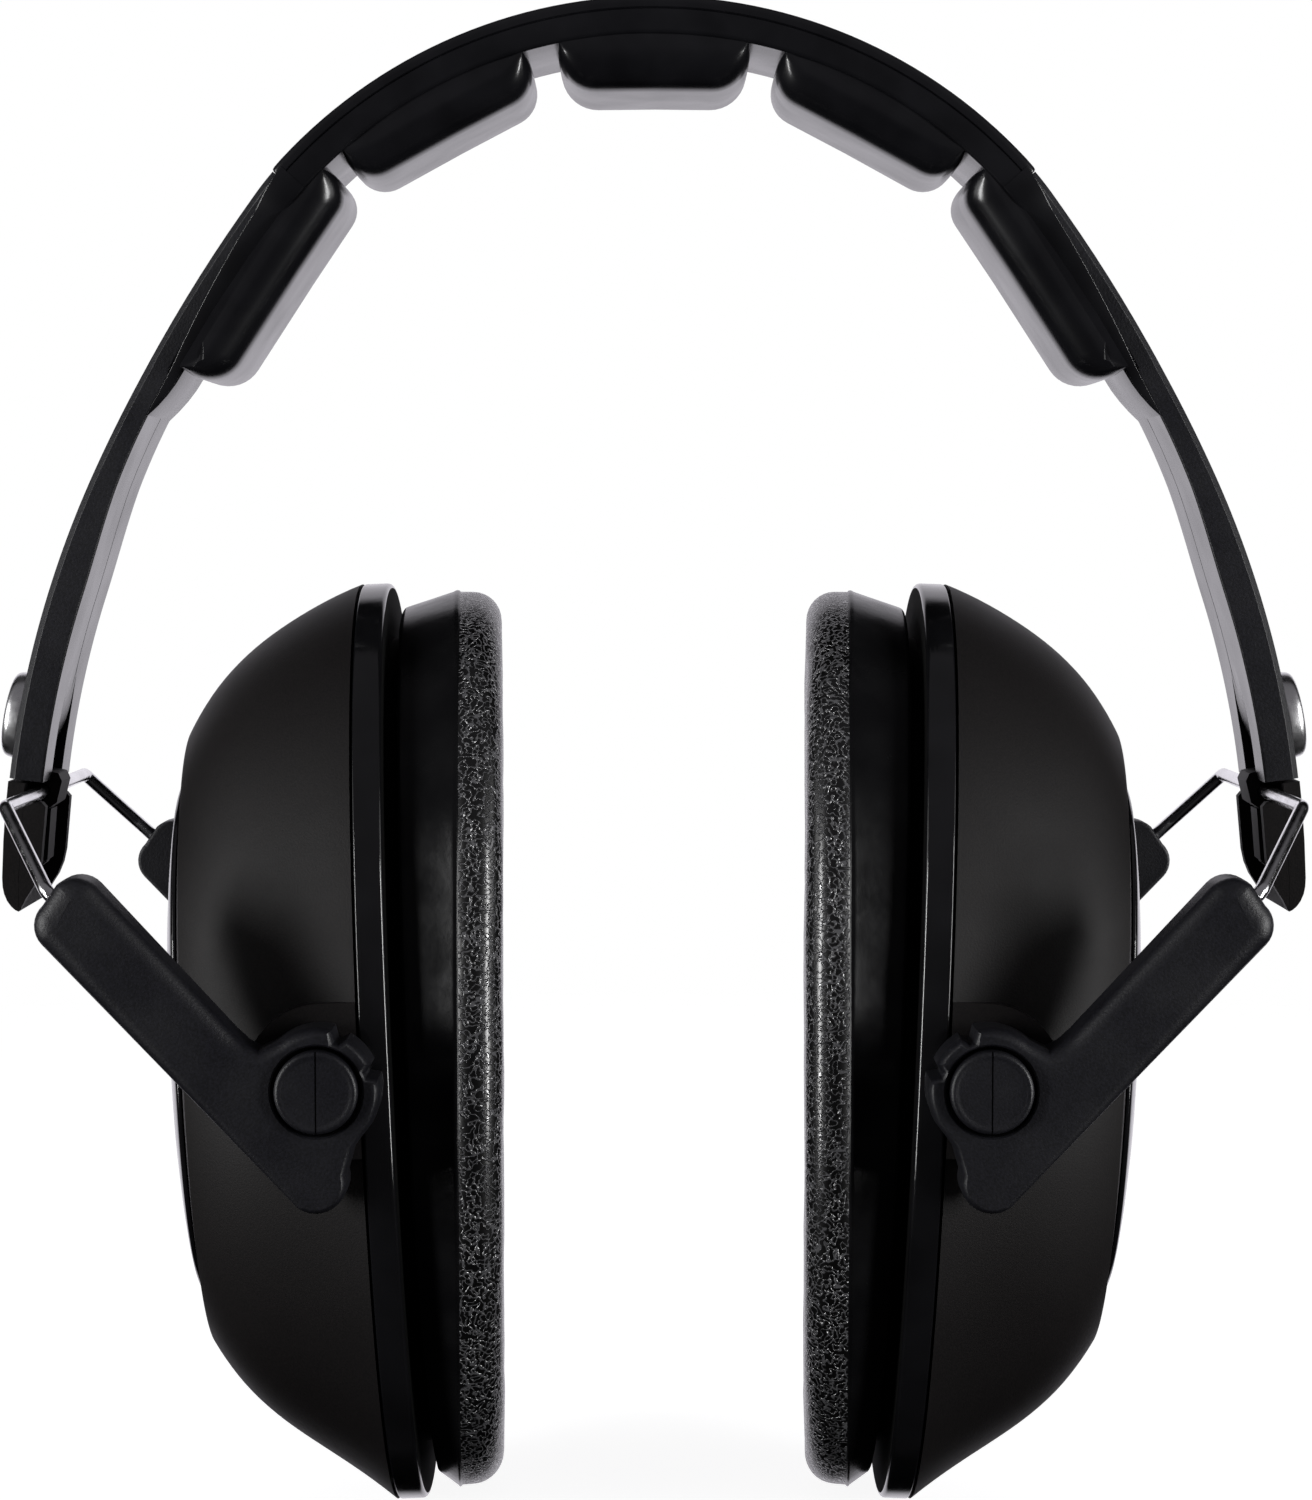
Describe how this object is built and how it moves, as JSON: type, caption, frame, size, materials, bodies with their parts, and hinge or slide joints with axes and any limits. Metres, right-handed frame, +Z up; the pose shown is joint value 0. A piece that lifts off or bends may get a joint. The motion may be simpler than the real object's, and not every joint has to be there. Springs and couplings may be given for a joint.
{
  "type": "earmuff hearing protector",
  "caption": "Folding ear defenders: padded spring headband, sliding end pieces, wire yokes with moulded arms, and oval cups with soft sealing rings.",
  "frame": {"origin": "middle of the flat underside of the headband's centre pad, where the crown of the head rests", "axes": "+X to the wearer's left, which is right in a view from the front; +Y to the back of the head; +Z up"},
  "size_m": [0.1542, 0.092, 0.1752],
  "materials": {
    "grained_plastic": "matte black with a fine grain",
    "satin_plastic": "satin black",
    "gloss_plastic": "glossy black",
    "soft_pad": "smooth soft black elastomer",
    "leatherette": "glossy black grained leatherette",
    "foam": "dark open-cell foam",
    "steel": "bright plated steel"
  },
  "bodies": {
    "band": {"headband": "grained_plastic", "headband_cushion": "soft_pad", "right_size_rivet": "steel", "left_size_rivet": "steel"},
    "right_end": {"right_size_slider": "satin_plastic"},
    "right_yoke": {"right_yoke_wire": "steel", "right_front_arm": "grained_plastic", "right_rear_arm": "grained_plastic"},
    "right_pins": {"right_front_pivot_pin": "grained_plastic", "right_rear_pivot_pin": "grained_plastic"},
    "right_cup": {"right_cup_shell": "satin_plastic", "right_face_plate": "gloss_plastic", "right_cup_foam": "foam", "right_cushion_plate": "gloss_plastic", "right_cushion_foam": "foam", "right_cushion_cover": "leatherette"},
    "left_end": {"left_size_slider": "satin_plastic"},
    "left_yoke": {"left_yoke_wire": "steel", "left_front_arm": "grained_plastic", "left_rear_arm": "grained_plastic"},
    "left_pins": {"left_front_pivot_pin": "grained_plastic", "left_rear_pivot_pin": "grained_plastic"},
    "left_cup": {"left_cup_shell": "satin_plastic", "left_face_plate": "gloss_plastic", "left_cup_foam": "foam", "left_cushion_plate": "gloss_plastic", "left_cushion_foam": "foam", "left_cushion_cover": "leatherette"}
  },
  "joints": [
    {"name": "right_size", "type": "slide", "parent": "band", "child": "right_end", "axis": [0.2377, 0, -0.9713], "range_m": [0, 0.016]},
    {"name": "right_fold", "type": "hinge", "parent": "right_end", "child": "right_yoke", "pos_m": [0.0719, 0, -0.0809], "axis": [0, 1, 0], "range_deg": [-8, 52]},
    {"name": "right_pivot", "type": "hinge", "parent": "right_yoke", "child": "right_pins", "pos_m": [0.0362, 0, -0.1104], "axis": [0, 1, 0], "range_deg": [-52, 8]},
    {"name": "right_tilt", "type": "hinge", "parent": "right_pins", "child": "right_cup", "pos_m": [0.0362, 0, -0.1104], "axis": [0, 1, 0], "range_deg": [-6, 6]},
    {"name": "left_size", "type": "slide", "parent": "band", "child": "left_end", "axis": [-0.2377, 0, -0.9713], "range_m": [0, 0.016]},
    {"name": "left_fold", "type": "hinge", "parent": "left_end", "child": "left_yoke", "pos_m": [-0.0719, 0, -0.0809], "axis": [0, -1, 0], "range_deg": [-8, 52]},
    {"name": "left_pivot", "type": "hinge", "parent": "left_yoke", "child": "left_pins", "pos_m": [-0.0362, 0, -0.1104], "axis": [0, -1, 0], "range_deg": [-52, 8]},
    {"name": "left_tilt", "type": "hinge", "parent": "left_pins", "child": "left_cup", "pos_m": [-0.0362, 0, -0.1104], "axis": [0, -1, 0], "range_deg": [-6, 6]}
  ],
  "couplings": [
    {"joint": "right_pivot", "follows": "right_fold", "ratio": -1},
    {"joint": "left_pivot", "follows": "left_fold", "ratio": -1}
  ]
}
